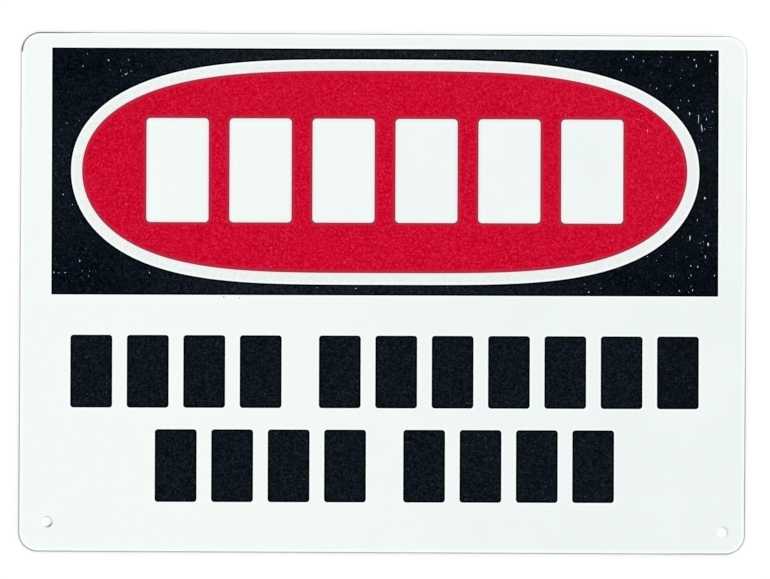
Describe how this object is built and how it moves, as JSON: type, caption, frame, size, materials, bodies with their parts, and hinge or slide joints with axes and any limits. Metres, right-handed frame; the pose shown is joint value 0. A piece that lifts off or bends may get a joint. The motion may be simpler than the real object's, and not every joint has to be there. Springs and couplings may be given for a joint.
{
  "type": "danger sign",
  "caption": "Flat plastic sign with rounded corners and screw holes: a red oval in a white ring on a black panel, above rows of plain black blocks on white.",
  "frame": {"origin": "the middle of the sheet's back face, on the surface that the sign lies on", "axes": "+X to the sign's right, +Y to its top edge, +Z out of the printed face; the sign lies on its back"},
  "size_m": [0.3556, 0.254, 0.0015],
  "materials": {
    "white_sheet": "satin white styrene sheet",
    "black_ink": "semi-gloss screen-printed ink",
    "red_ink": "semi-gloss screen-printed ink"
  },
  "bodies": {
    "root": {"sign_sheet": "white_sheet", "black_panel_ink": "black_ink", "red_oval_ink": "red_ink", "upper_row_ink": "black_ink", "lower_row_ink": "black_ink"}
  },
  "joints": []
}
